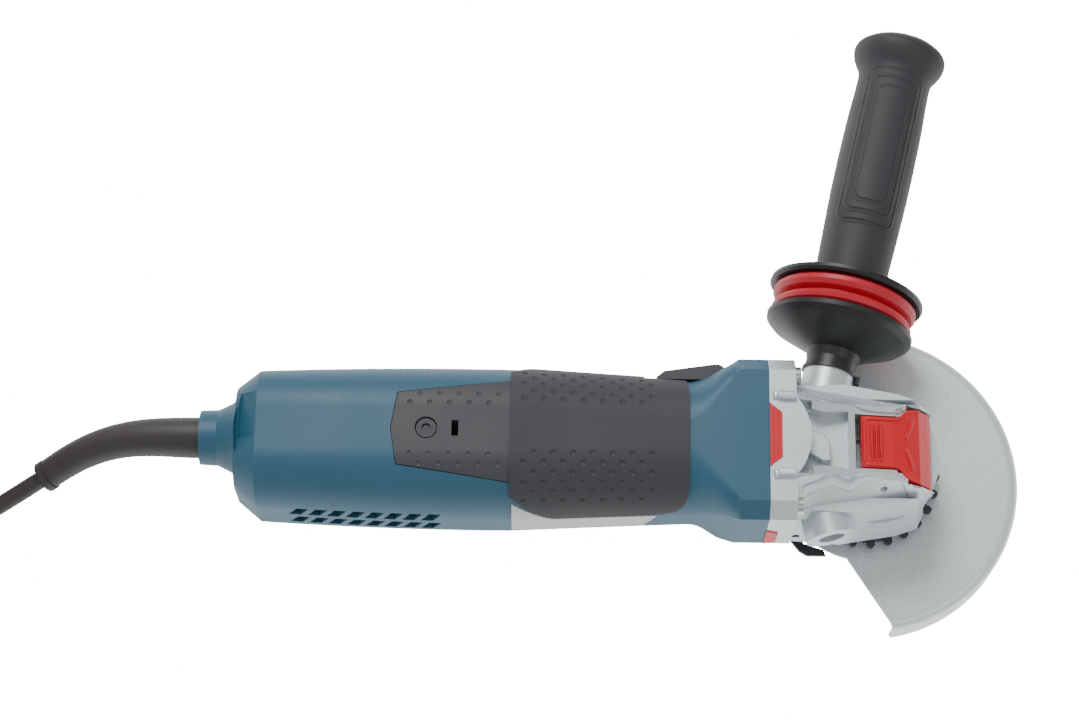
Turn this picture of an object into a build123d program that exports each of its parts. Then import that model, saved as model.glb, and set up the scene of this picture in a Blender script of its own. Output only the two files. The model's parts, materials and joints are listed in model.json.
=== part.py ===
from build123d import *
from math import cos, pi, radians, sin, tan
import os

# A corded angle grinder for 125 mm discs, with a tool-free disc release.
#
# Tool frame, millimetres: the spindle axis is x = y = 0 and the motor axis is y = z = 0.
# +X points to the nose, +Y to the tool's left (side handle and switch), +Z away from the disc.
# At the end every piece of the tool is set down on the floor by one rigid move, and the cord
# is drawn straight in the floor frame.

# Body stations along the motor axis
nose_x = 26.5
flange_front_x = -37.0
flange_rear_x = -49.0
collar_rear_x = -62.0
neck_x = -84.0
joint_x = -163.7
cap_x = -276.0
tail_x = -286.0
sleeve_x = -302.0

# Housing sections
wall = 2.5
collar_half_width = 37.2
collar_half_height = 30.5
collar_chamfer = 7.0
collar_low_chamfer = 15.0
grip_skin = 1.2
cable_z = 12.0

# Motor
stator_x0 = -150.0
stator_x1 = -104.0
core_radius = 15.4

# Spindle line
crown_teeth = 37
pinion_teeth = 10
gear_outer = 27.0
gear_inner = 17.5
gear_radius = 28.4
pinion_seat_x = -24.6
head_low_z = -24.0
head_radius = 30.4
head_wall_top = 12.0
head_wall_draft = 8.0
neck_radius = 23.0
seat_z = -46.0
pilot_radius = 11.1
pilot_length = 6.0

# Disc release
lever_pivot = (2.5, 15.6)
lever_range = 55.0
lever_floor_z = 9.0
bush_top_z = 3.0
plunger_travel = 4.0
cam_rest = 4.6

# Guard
guard_radius = 72.0
guard_plate = 1.8
guard_top_z = -36.4
guard_low_z = -54.4
guard_middle = 10.0
guard_collar_radius = 26.4
guard_hub_radius = 38.9
guard_edge_turn = 22.9
peg_count = 25

# Side handle
handle_lean = 13.0
handle_cross_x = -28.2
handle_boss_end = 39.5
handle_thread = 6.0
thread_depth = 18.0

# Cord, in the floor frame
cord_radius = 4.1
sleeve_route = [(-188.6, -68.45, 40.9), (-207.1, -68.45, 39.2), (-225.1, -69.55, 34.8),
                (-243.1, -74.45, 27.0), (-259.1, -82.85, 18.0)]
sleeve_radii = [9.2, 8.7, 7.9, 7.2, 6.8]
sleeve_root_radius = 8.4
cord_route = [(-259.1, -82.85, 18.0), (-271.1, -89.35, 11.4), (-283.1, -96.35, 6.8), (-297.1, -104.35, 4.5),
              (-311.3, -112.45, 4.2), (-325.1, -121.35, 4.2)]
coil_centre = (-354.8, -72.45)
coil_inner = 36.5
coil_outer = 61.5
coil_height = 33.2
tail_route = [(-412.0, -72.45, 28.8), (-412.2, -45.45, 26.4), (-409.5, -20.45, 17.5), (-399.0, 1.55, 10.8),
              (-381.0, 16.35, 9.0), (-359.1, 20.05, 9.0)]
plug_pin_spacing = 19.0
plug_pin_radius = 2.4

# How the tool stands: on the two ends of the guard's rim and on the heel of the rear housing
heel = (-276.0, 0.0, -31.4)
floor_shift = (-159.1, -67.8)

base = (Align.CENTER, Align.CENTER, Align.MIN)
corner = (Align.MIN, Align.MIN, Align.MIN)
parts = {}


def rod(radius, x0, x1, y=0.0, z=0.0):
    return Pos(x0, y, z) * Rot(0, 90, 0) * Cylinder(radius, x1 - x0, align=base)


def post(radius, z0, z1, x=0.0, y=0.0):
    return Pos(x, y, z0) * Cylinder(radius, z1 - z0, align=base)


def pin_y(radius, x, z, y0, y1):
    return Pos(x, y0, z) * Rot(-90, 0, 0) * Cylinder(radius, y1 - y0, align=base)


def block(x0, x1, y0, y1, z0, z1):
    return Pos(x0, y0, z0) * Box(x1 - x0, y1 - y0, z1 - z0, align=corner)


def cross_plane(x):
    return Plane(origin=(x, 0, 0), x_dir=(0, 1, 0), z_dir=(1, 0, 0))


def side_plane(y):
    return Plane(origin=(0, y, 0), x_dir=(1, 0, 0), z_dir=(0, -1, 0))


def plan_prism(points, z0, z1):
    return extrude(Pos(0, 0, z0) * make_face(Polyline(*points, close=True)), z1 - z0, dir=(0, 0, 1))


def side_prism(points, y0, y1):
    outline = make_face(side_plane(y1) * Polyline(*points, close=True))
    return extrude(outline, y1 - y0, dir=(0, -1, 0))


def turned_x(points):
    """Turn an outline of (x, radius) points about the motor axis."""
    outline = make_face(Plane.XY * Polyline(*points, close=True))
    return revolve(outline, Axis.X)


def turned_z(points):
    """Turn an outline of (radius, z) points about the spindle axis."""
    outline = make_face(Plane.XZ * Polyline(*points, close=True))
    return revolve(outline, Axis.Z)


def rounded_section(x, width, height, radius, grow=0.0, z=0.0):
    sheet = RectangleRounded(width + 2 * grow, height + 2 * grow, max(radius + grow, 1.0))
    return cross_plane(x) * Pos(0, z, 0) * sheet


def octagon_points(grow=0.0):
    w = collar_half_width + grow
    h = collar_half_height + grow
    c = collar_chamfer
    low = collar_low_chamfer
    return [(-w, -h + low), (-w + low, -h), (w - low, -h), (w, -h + low),
            (w, h - c), (w - c, h), (-w + c, h), (-w, h - c)]


def octagon_section(x, grow=0.0):
    return make_face(cross_plane(x) * Polyline(*octagon_points(grow), close=True))


def octagon_prism(x0, x1, grow=0.0):
    return extrude(octagon_section(x0, grow), x1 - x0, dir=(1, 0, 0))


def rear_form(grow=0.0, end=0.0):
    """Outer form of the rear housing, grown or shrunk all round."""
    cap = loft([rounded_section(tail_x + end, 47, 49, 15, grow, 1.0),
                rounded_section(cap_x, 63, 62.5, 21, grow)], ruled=True)
    barrel = loft([rounded_section(cap_x, 63, 62.5, 21, grow),
                   rounded_section(-222, 68, 64.5, 24, grow),
                   rounded_section(joint_x, 69.4, 64.5, 25, grow)])
    return cap + barrel


def front_form(grow=0.0):
    """Outer form of the motor housing from the joint to the start of the neck."""
    return loft([rounded_section(joint_x, 69.4, 64.5, 25, grow),
                 rounded_section(-122, 65.5, 61.5, 25, grow),
                 rounded_section(neck_x, 62, 60, 25, grow)])


def neck_form():
    return loft([rounded_section(neck_x, 62, 60, 25),
                 rounded_section(-76, 63.6, 60.4, 20),
                 rounded_section(-68.5, 68.6, 60.8, 13),
                 octagon_section(collar_rear_x)])


def vent_slots(side):
    """Two rows of slanted slots through one side wall of the rear housing."""
    slots = []
    for row_z in (-8.0, 4.0):
        for i in range(8):
            x = -262 + 8.4 * i
            outline = [(x, row_z), (x + 5.4, row_z), (x + 9.4, row_z + 8.5), (x + 4.0, row_z + 8.5)]
            slots.append(side_prism(outline, 26, 40) if side > 0 else side_prism(outline, -40, -26))
    return slots


def cover_outline(gap=0.0):
    return [(-213.4 - gap, -16.5 - gap), (-216.2 - gap, 0), (-213.4 - gap, 16.5 + gap),
            (joint_x + gap, 23.3 + gap), (joint_x + gap, -23.3 - gap)]


def make_rear_housing():
    shell = rear_form() - rear_form(-wall, wall)
    tail = turned_x([(sleeve_x, 0), (sleeve_x, 12.2), (-294, 12.6), (-288, 15.6),
                     (tail_x + 0.5, 17.4), (tail_x + 0.5, 0)])
    shell += Pos(0, 0, cable_z) * tail
    shell -= rod(9.3, sleeve_x - 1, tail_x + 4, 0, cable_z)
    shell -= plan_prism(cover_outline(0.3), 14, 40)
    for slot in vent_slots(1) + vent_slots(-1):
        shell -= slot
    pocket = Pos(-281.6, 6, 30.0) * Rot(0, -36, 0) * Box(8.5, 21, 6)
    shell -= pocket
    # a ledge and a bridge under the cover, which carries the cover's screw
    cover_room = plan_prism(cover_outline(0.3), 14, 40) - rear_form(-wall - 0.2)
    ledge = (rear_form(-wall + 0.3) & plan_prism(cover_outline(2.2), 20, 40)) - rear_form(-wall - 1.8)
    ledge -= plan_prism(cover_outline(-2.5), 10, 41)
    ledge += rear_form(-wall + 0.3) & block(-206, -195, -32, 32, 25.4, 40)
    ledge -= block(joint_x - 1.5, joint_x + 5, -50, 50, -50, 50)
    shell += ledge - cover_room
    shell += bearing_carrier()
    parts["rear_housing"] = shell


def make_service_cover():
    cover = (rear_form(0.25) - rear_form(-wall - 0.2)) & plan_prism(cover_outline(), 14.3, 40)
    cover -= block(joint_x - 0.02, joint_x + 5, -50, 50, -50, 50)
    well = post(5.0, 30.6, 40, -200.6, 0)
    cover -= well
    cover -= block(-189.4, -186.4, -3.6, 3.6, 25, 40)
    screw = post(4.4, 30.6, 32.0, -200.6, 0) - post(2.1, 31.0, 34, -200.6, 0)
    hole = post(1.6, 26.0, 31, -200.6, 0)
    screw += post(1.55, 26.4, 31, -200.6, 0)
    cover -= hole
    parts["rear_housing"] -= hole
    parts["service_cover"] = cover
    parts["service_cover_screw"] = screw


def make_motor_housing():
    shell = front_form() + neck_form() + octagon_prism(collar_rear_x, flange_rear_x)
    shell -= front_form(-wall)
    shell -= rod(26.8, neck_x - 6, -72)
    shell -= rod(25.6, -73, flange_rear_x + 1)
    # channel and slot of the slide switch
    shell -= block(-102, -61, 29.4, 50, -2, 18)
    shell -= block(-98.4, -72, 24, 32, 2, 8.6)
    baffle = (rod(40, -96.2, -95.0) - rod(21.0, -98, -94)) & front_form(-wall + 0.4)
    shell += baffle - block(-98, -94, 25.4, 28.8, 2.2, 8.2)
    # pockets of the corner screws
    for y, z in screw_places():
        shell -= rod(1.9, -60, flange_rear_x + 1, y, z)
    for pocket in insert_boxes():
        shell -= pocket
    parts["motor_housing"] = shell


def screw_places():
    return [(-30.2, 22.0), (30.2, 22.0), (-28.5, -18.5), (28.5, -18.5)]


def insert_boxes():
    """Red cushions let into the four sides of the joint: x0, x1 and the middle of each."""
    top = [(-49.0, -14.6), (-49.0, 14.6), (-43.6, 10.2), (-43.6, -10.2)]
    h = collar_half_height
    w = collar_half_width
    shapes = [plan_prism(top, h - 2.2, h + 0.7), plan_prism(top, -h - 0.7, -h + 2.2)]
    side = [(-49.0, -14.0), (-49.0, 6.4), (-43.8, 3.2), (-43.8, -10.8)]
    shapes.append(side_prism(side, w - 2.2, w + 0.6))
    shapes.append(side_prism(side, -w - 0.6, -w + 2.2))
    return shapes


def make_red_inserts():
    cushions = insert_boxes()
    for x in (-47.4, -45.4):
        groove_top = block(x - 0.35, x + 0.35, -20, 20, collar_half_height + 0.2, collar_half_height + 2)
        cushions[0] -= groove_top
    parts["red_inserts"] = Compound(children=cushions)


def make_soft_grip():
    skin = front_form(grip_skin) - front_form()
    upper = [(joint_x - 1, 25.5), (-163, 24.5), (-147, 11.5), (-143, 10.2), (-96, 11.2), (-90, 12.8),
             (-86.5, 16.5), (-84.6, 22), (-84.2, 40), (joint_x - 1, 40)]
    skin = skin & side_prism(upper, -60, 60)
    skin -= block(-104, -60, 28, 50, -3, 19)
    parts["soft_grip"] = skin


def make_label_plate():
    sheet = front_form(0.5) - front_form()
    outline = [(-162.5, -7), (-104, -7), (-98, 8.5), (-144, 8.5), (-149.5, 11.5), (-162.5, 20.5)]
    parts["label_plate"] = sheet & side_prism(outline, -60, -20)


def make_cable_clamp():
    clamp = block(-281, -270, -11, 11, cable_z - 11, cable_z - cord_radius)
    clamp -= rod(cord_radius, -290, -260, 0, cable_z)
    clamp += block(-281, -270, -11, 11, cable_z - 15, cable_z - 10)
    parts["cable_clamp"] = clamp


# Motor

def make_stator():
    core = rod(25.4, stator_x0, stator_x1) - rod(22.0, stator_x0 - 1, stator_x1 + 1)
    for side in (1, -1):
        pole = rod(22.6, stator_x0, stator_x1) - rod(15.9, stator_x0 - 1, stator_x1 + 1)
        wedge = [(-13.5, 14.0 * side), (13.5, 14.0 * side), (10.0, 23.0 * side), (-10.0, 23.0 * side)]
        section = make_face(cross_plane(stator_x0) * Polyline(*wedge, close=True))
        keep = extrude(section, stator_x1 - stator_x0, dir=(1, 0, 0))
        shoe = rod(19.0, stator_x0, stator_x1) - rod(15.9, stator_x0 - 1, stator_x1 + 1)
        shoe = shoe & block(stator_x0, stator_x1, -14.5, 14.5, 5.0 * side if side > 0 else -30,
                            30 if side > 0 else -5.0)
        core += (pole & keep) + shoe
    parts["stator_core"] = core
    coils = []
    for side in (1, -1):
        loop = rod(21.6, stator_x0 - 7, stator_x1 + 7) - rod(16.4, stator_x0 - 9, stator_x1 + 9)
        loop -= rod(25.6, stator_x0, stator_x1)
        lobes = rod(21.6, stator_x0, stator_x1) - rod(19.4, stator_x0 - 1, stator_x1 + 1)
        lobes = lobes & (block(stator_x0, stator_x1, 14.8, 30, -30, 30)
                         + block(stator_x0, stator_x1, -30, -14.8, -30, 30))
        coil = loop + lobes
        half = block(-200, -50, -40, 40, 1.0, 40) if side > 0 else block(-200, -50, -40, 40, -40, -1.0)
        coils.append(coil & half)
    parts["stator_windings"] = Compound(children=coils)


def slot_bars(x0, x1, width, deep):
    bars = []
    for i in range(12):
        bar = block(x0, x1, -width / 2, width / 2, core_radius - deep, core_radius - 0.4)
        bars.append(Rot(30 * i + 15, 0, 0) * bar)
    return bars


def make_armature():
    shaft = turned_x([(-196, 0), (-196, 4), (-158, 4), (-158, 5), (-95.6, 5), (-95.6, 6), (-60, 6),
                      (-60, 8.2), (-52, 8.2), (-52, 6), (-36, 6), (-36, 5), (pinion_seat_x, 5),
                      (pinion_seat_x, 3), (-11.6, 3), (-11.6, 0)])
    parts["armature_shaft"] = shaft
    core = rod(core_radius, stator_x0, stator_x1) - rod(5, stator_x0 - 1, stator_x1 + 1)
    for bar in slot_bars(stator_x0 - 1, stator_x1 + 1, 2.4, 6.0):
        core -= bar
    parts["armature_core"] = core
    winding = rod(14.0, stator_x0 - 8, stator_x0) + rod(14.0, stator_x1, stator_x1 + 8)
    winding -= rod(5, -170, -90)
    for bar in slot_bars(stator_x0 - 0.5, stator_x1 + 0.5, 2.4, 6.0):
        winding += bar
    parts["armature_windings"] = winding
    bars = rod(11.0, -180, -160) - rod(4, -181, -158)
    for i in range(24):
        bars -= Rot(15 * i, 0, 0) * block(-181, -162.5, -0.25, 0.25, 10.0, 12)
    parts["commutator"] = bars
    fan = turned_x([(-94, 6), (-94, 9.5), (-84, 9.5), (-84, 24.8), (-82, 24.8), (-82, 6)])
    for i in range(13):
        blade = Rot(360 / 13 * i, 0, 0) * (Pos(-88.4, 0, 16.4) * Rot(0, 0, 24) * Box(11.4, 1.4, 15.4))
        fan += blade & rod(24.8, -94, -83.5)
    parts["cooling_fan"] = fan
    nut = extrude(cross_plane(-16.9) * RegularPolygon(5.0, 6), 4.4) - rod(3, -17, -12)
    parts["pinion_nut"] = nut


def ball_bearing(inner, outer, width, ball, count):
    """Two races and a ring of balls, along Z from 0, as separate solids."""
    mid = (inner + outer) / 2
    groove = Pos(0, 0, width / 2) * Torus(mid, ball * 1.03)
    race_in = post(inner + (outer - inner) * 0.3, 0, width) - post(inner, -1, width + 1) - groove
    race_out = post(outer, 0, width) - post(outer - (outer - inner) * 0.28, -1, width + 1) - groove
    balls = []
    for i in range(count):
        spot = Rot(0, 0, 360 / count * i) * Pos(mid, 0, width / 2) * Sphere(ball)
        balls.append(spot)
    return race_in, race_out, balls


def make_motor_bearings():
    turn = Rot(0, 90, 0)
    inner, fixed = [], []
    for x, sizes in ((-192, (4.0, 11.0, 7.0, 2.0, 7)), (-50, (6.0, 14.0, 8.0, 2.4, 8))):
        race_in, race_out, balls = ball_bearing(*sizes)
        place = Pos(x, 0, 0) * turn
        inner.append(place * race_in)
        fixed.append(place * race_out)
        fixed += [place * b for b in balls]
    parts["armature_bearing_inner"] = Compound(children=inner)
    parts["motor_bearings"] = Compound(children=fixed)
    seat = rod(13.2, -193.2, -184) - rod(11.0, -192, -183)
    parts["bearing_cushion"] = seat - rod(8.0, -194, -191)


def bearing_carrier():
    """Cup and two arms that hold the rear bearing in the rear housing."""
    frame = rod(14.8, -194.4, -184) - rod(13.2, -193.2, -183) - rod(8.0, -195, -192)
    arms = block(-194.4, -186, -40, -14.0, -5, 5) + block(-194.4, -186, 14.0, 40, -5, 2.2)
    return frame + (arms & rear_form(-wall + 0.4))


def make_brushes():
    holders = []
    for name, turn in (("upper", Rot(0, 0, 0)), ("lower", Rot(180, 0, 0))):
        holder = block(-175.4, -164.6, -5.0, 5.0, 13.0, 27.4) - block(-173.2, -166.8, -3.2, 3.2, 10, 26.2)
        holders.append(turn * holder)
        brush = block(-173.1, -166.9, -3.1, 3.1, 11.0, 21.0) - rod(11.12, -176, -164)
        parts["carbon_brush_" + name] = turn * brush
        coil = post(2.6, 21.1, 26.1, -170, 0) - post(1.9, 21, 27, -170, 0)
        parts["brush_spring_" + name] = turn * coil
    parts["brush_holders"] = Compound(children=holders)


def make_electronics():
    parts["speed_controller"] = block(-262, -222, -21, 21, -26, -17)
    parts["switch_unit"] = block(-226, -204, 12, 27, -7, 12)


def make_switch():
    """Slider on the left side and its rod back to the switch."""
    outline = [(-98.6, 29.8), (-98.6, 30.6), (-95, 33.6), (-73, 37.0), (-70.4, 37.2), (-67.6, 35.4),
               (-67.6, 29.8)]
    slider = plan_prism(outline, -0.4, 16.4)
    for i in range(10):
        x = -94.5 + 2.4 * i
        y = 33.6 + (x + 95) * 0.155
        slider -= Pos(x, y + 0.62, 8) * Rot(0, 0, 9) * Box(0.9, 1.6, 14)
    slider += block(-94, -86, 26.2, 30, 2.6, 8.0)
    parts["switch_slider"] = slider
    link = block(-203.6, -86, 26.0, 28.0, 2.9, 7.4)
    link -= block(-94.2, -85, 25, 30, 2, 9)
    link += block(-97.0, -86, 25.5, 26.2, 2.9, 7.4)
    parts["switch_rod"] = link


# Gear head

def head_section(x, low, mid, mid_z, top, top_z):
    points = [(-low, head_low_z), (low, head_low_z), (mid, mid_z), (top, top_z), (-top, top_z), (-mid, mid_z)]
    return make_face(cross_plane(x) * Polyline(*points, close=True))


def handle_axis(side):
    lean = radians(handle_lean)
    return Plane(origin=(handle_cross_x, 0, 0), z_dir=(sin(lean), side * cos(lean), 0), x_dir=(0, 0, 1))


def lever_outline(gap):
    return [(-7.8 - gap, -11.8 - gap), (6.5, -11.8 - gap), (10.5, -12.6 - gap), (14.2, -16.6 - gap),
            (32, -17.8 - gap), (32, 17.8 + gap), (14.2, 16.6 + gap), (10.5, 12.6 + gap),
            (6.5, 11.8 + gap), (-7.8 - gap, 11.8 + gap)]


def head_wall(side):
    """Drafted side wall that carries the handle boss and squares off the nose."""
    outline = [(-45, 18), (-45, 33), (-14, 35), (12, 30.5), (22, 27), (25.2, 20), (25.2, 18)]
    face = make_face(Polyline(*[(x, side * y) for x, y in outline[::-side]], close=True))
    return extrude(Pos(0, 0, head_low_z) * face, head_wall_top - head_low_z, taper=head_wall_draft)


def make_gear_head():
    sections = [head_section(flange_front_x, 20, 31.5, 7, 19.5, 29.5),
                head_section(-26, 24, 32, 5, 16.5, 26),
                head_section(-10, 27.5, 30, 4, 16.5, 22.5),
                head_section(10, 27, 25, 3, 17.5, 20),
                head_section(20, 22, 22.4, 1, 19.8, 13.5),
                head_section(nose_x, 13, 17.6, -3, 18.2, 5.0)]
    head = loft(sections[0:2], ruled=True)
    for i in range(1, 5):
        head += loft(sections[i:i + 2], ruled=True)
    head += post(head_radius, head_low_z, -3)
    head += head_wall(1) + head_wall(-1)
    for side in (1, -1):
        plane = handle_axis(side)
        head += plane * Pos(0, 0, 14) * Cylinder(11.6, handle_boss_end - 14, align=base)
    head -= block(-60, flange_front_x, -60, 60, -60, 60)
    # saddle between the two ridges
    saddle = [(-36, -14.5), (-25, -12.4), (-13.5, -13.4), (-13.5, 13.4), (-25, 12.4), (-36, 14.5)]
    head -= plan_prism(saddle, 17.5, 40)
    head -= block(-40, -30, -17, 17, 21.5, 40)
    # recess of the lever, open at the nose
    head -= plan_prism(lever_outline(0.7), lever_floor_z, 40)
    head -= block(-10.6, -8.0, -12.7, 12.7, lever_floor_z, 40)
    head -= plan_prism([(8.0, -15.2), (14.2, -17.6), (14.2, 17.6), (8.0, 15.2)], 18.0, 40)
    head -= block(-8.6, 8.6, -5.1, 5.1, 6.0, 12)
    front_cut = [(13.0, lever_floor_z), (17.0, 7.6), (22.0, 0.5), (22.6, -1.5), (40, -1.5), (40, 30),
                 (13.0, 30)]
    head -= side_prism(front_cut, -18.2, 18.2)
    # insides: crown gear room, pinion tunnel, top bearing seat, plunger bore
    head -= post(gear_radius, head_low_z - 1, -3.2)
    head -= rod(10.2, flange_front_x - 1, -20) + rod(6.8, -21, -8)
    head -= post(9.5, -4, bush_top_z)
    head -= post(5.6, 2, 20)
    for side in (1, -1):
        plane = handle_axis(side)
        reach = handle_boss_end - thread_depth
        head -= plane * Pos(0, 0, reach) * Cylinder(handle_thread, thread_depth + 5, align=base)
    head -= pin_y(1.6, lever_pivot[0], lever_pivot[1], -21.4, 21.4)
    for y, z in screw_places():
        head -= rod(4.6, flange_front_x - 1, flange_front_x + 5, y, z)
    for x, y in plate_screw_places():
        head -= post(1.5, head_low_z - 1, head_low_z + 8.0, x, y)
    parts["gear_head"] = head


def plate_screw_places():
    return [(-25.5, -17.5), (-25.5, 17.5), (-33.0, -13.0), (-33.0, 13.0)]


def make_gear_flange():
    plate = octagon_prism(flange_rear_x, flange_front_x)
    plate += rod(25.4, flange_rear_x - 3, flange_rear_x)
    plate -= rod(14.0, flange_rear_x - 4, flange_rear_x + 7)
    plate -= rod(9.0, flange_rear_x, flange_front_x + 1)
    tongue = post(28, 23.0, collar_half_height, -58.6, 0)
    plate += tongue & block(flange_front_x - 0.5, -20, -16.8, 16.8, 20, 40)
    for y in (17.6, -17.6):
        plate += block(-45.5, flange_front_x, y - 1.6, y + 1.6, collar_half_height - 1,
                       collar_half_height + 1.3)
    for cushion in insert_boxes():
        plate -= cushion
    for y, z in screw_places():
        plate -= rod(1.9, flange_rear_x - 4, flange_front_x + 1, y, z)
    parts["gear_flange"] = plate
    screws = []
    for y, z in screw_places():
        head = rod(4.0, flange_front_x, flange_front_x + 2.8, y, z)
        head -= rod(1.9, flange_front_x + 1.2, flange_front_x + 4, y, z)
        screws.append(head + rod(1.85, -59.5, flange_front_x, y, z))
    parts["gear_head_screws"] = Compound(children=screws)


def make_flange_key():
    outline = [(-31.6, 5.6), (-24.4, 3.2), (-21.6, -0.8), (-21.6, -9.4), (-24.6, -9.4), (-31.6, -5.6)]
    parts["flange_key"] = plan_prism(outline, 17.5, 22.4)


# Gears

def frustum_tooth(points, scale):
    """A tooth whose edges all run to the crossing of the two axes."""
    outer = Polyline(*points, close=True)
    inner = Polyline(*[tuple(scale * c for c in p) for p in points], close=True)
    return Solid.make_loft([outer.wire(), inner.wire()], True)


def gear_numbers():
    pitch_drop = gear_outer * pinion_teeth / crown_teeth
    module = 2 * gear_outer / crown_teeth
    return pitch_drop, module


def make_pinion():
    pitch_radius, module = gear_numbers()
    scale = gear_inner / gear_outer
    root = pitch_radius - 1.15 * module
    tip = pitch_radius + 0.75 * module
    half_root = 0.26 * pi * module
    half_tip = 0.09 * pi * module
    gear = turned_x([(-36, 4.0), (-36, 7.4), (-gear_outer - 2.0, 7.4), (-gear_outer, root),
                     (-gear_inner, root * scale), (-gear_inner, 3.0), (-24, 3.0)])
    for i in range(pinion_teeth):
        tooth = frustum_tooth([(-gear_outer, -half_root, -root + 0.5), (-gear_outer, half_root, -root + 0.5),
                               (-gear_outer, half_tip, -tip), (-gear_outer, -half_tip, -tip)], scale)
        gear += Rot(360 / pinion_teeth * i, 0, 0) * tooth
    gear -= rod(5.0, -40, pinion_seat_x) + rod(3.0, pinion_seat_x - 0.4, -10)
    parts["pinion"] = gear


def make_crown_gear():
    pitch_drop, module = gear_numbers()
    scale = gear_inner / gear_outer
    root = -pitch_drop - 1.15 * module
    tip = -pitch_drop + 0.75 * module
    half_root = 0.24 * pi * module
    half_tip = 0.08 * pi * module
    body = turned_z([(8.0, -14.4), (8.0, -9.0), (gear_inner - 3.5, -9.0), (gear_inner, root * scale),
                     (gear_outer, root), (gear_outer, -13.2), (gear_outer - 1.2, -14.4)])
    for i in range(crown_teeth):
        tooth = frustum_tooth([(gear_outer, -half_root, root - 0.5), (gear_outer, half_root, root - 0.5),
                               (gear_outer, half_tip, tip), (gear_outer, -half_tip, tip)], scale)
        body += Rot(0, 0, 360 / crown_teeth * i) * tooth
    parts["crown_gear"] = body


# Spindle, bearing plate and disc release

def make_spindle():
    tip_z = seat_z - pilot_length
    body = turned_z([(3.2, 3.4), (5.0, 3.4), (5.0, -1.8), (8.0, -1.8), (8.0, -14.4), (7.5, -14.4),
                     (7.5, -27.6), (9.8, -27.6), (9.8, -39.0), (20.0, -39.0), (20.0, seat_z),
                     (pilot_radius, seat_z), (pilot_radius, tip_z + 0.8), (pilot_radius - 0.8, tip_z),
                     (5.7, tip_z), (5.7, seat_z + 3.4), (3.2, seat_z + 3.4)])
    jaw_room = block(-24, 24, -4.1, 4.1, tip_z + 1.4, seat_z - 1.2)
    parts["spindle"] = body - jaw_room
    for name, side in (("front", 1), ("rear", -1)):
        jaw = block(5.5, 12.4, -4.0, 4.0, tip_z + 1.5, seat_z - 1.6)
        jaw = jaw & post(12.5, -70, 0)
        nose = [(11.1, seat_z - 1.6), (12.5, seat_z - 2.9), (14, seat_z), (11.1, seat_z)]
        jaw -= side_prism(nose, -6, 6)
        ramp = [(5.0, seat_z - 1.0), (7.2, seat_z - 1.0), (5.5, seat_z - 4.4), (5.0, seat_z - 4.4)]
        jaw -= side_prism(ramp, -6, 6)
        parts["clamp_jaw_" + name] = jaw if side > 0 else Rot(0, 0, 180) * jaw


def make_plunger():
    """The push rod: a cam rides on its head and its lower land holds the jaws apart."""
    top = lever_pivot[1] - cam_rest - 0.15
    foot = seat_z - pilot_length + 0.6
    land_top = seat_z - pilot_length + 2.2
    parts["lock_plunger"] = turned_z([(0, top), (4.6, top), (4.6, top - 1.6), (3.1, top - 1.6),
                                      (3.1, land_top + plunger_travel), (5.0, land_top), (5.0, foot),
                                      (0, foot)])
    low = bush_top_z + 0.5
    parts["plunger_spring"] = turned_z([(3.5, low), (4.3, low), (4.3, top - 1.65), (3.5, top - 1.65)])


def cam_curve():
    """Points on the cam's face, which pushes the plunger down in step with the lever's lift."""
    px, pz = lever_pivot
    rise = plunger_travel / radians(lever_range)
    lobe = []
    for i in range(13):
        turn = radians((lever_range + 8) * i / 12)
        reach = cam_rest + rise * turn
        down = (-sin(turn), -cos(turn))
        along = (-cos(turn), sin(turn))
        lobe.append((px + reach * down[0] + rise * along[0], pz + reach * down[1] + rise * along[1]))
    return lobe


def make_release_lever():
    px, pz = lever_pivot
    skin = [(-7.8, 21.6), (-6.6, 22.4), (6.5, 20.6), (13.0, 18.0), (19.0, 14.0), (23.6, 8.2),
            (25.6, 2.0), (26.0, -0.6), (23.6, -0.6), (22.6, 3.0), (20.6, 7.6), (16.6, 11.8),
            (11.0, 15.0), (7.2, 16.2), (-6.4, 18.6), (-7.8, 18.8)]
    plate = side_prism(skin, -18.0, 18.0) & plan_prism(lever_outline(0), -10, 40)
    hub = pin_y(cam_rest, px, pz, -10.8, 10.8)
    heart = [(px, pz + 3.5), (px + 1.5, pz - cam_rest + 0.6)]
    cam = side_prism(heart + cam_curve() + [(-7.2, 19.8)], -4.5, 4.5)
    lever = plate + hub + (cam & block(-7.6, 12, -5, 5, -10, 20.0))
    lever -= pin_y(1.55, px, pz, -20, 20)
    # cross ribs for the thumb
    for x in (-3.2, -1.2, 0.8):
        z = 21.9 - 0.137 * (x + 3)
        lever += Pos(x, 0, z) * Rot(0, 7.8, 0) * Box(0.9, 17.5, 1.2)
    parts["release_lever"] = lever


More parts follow.
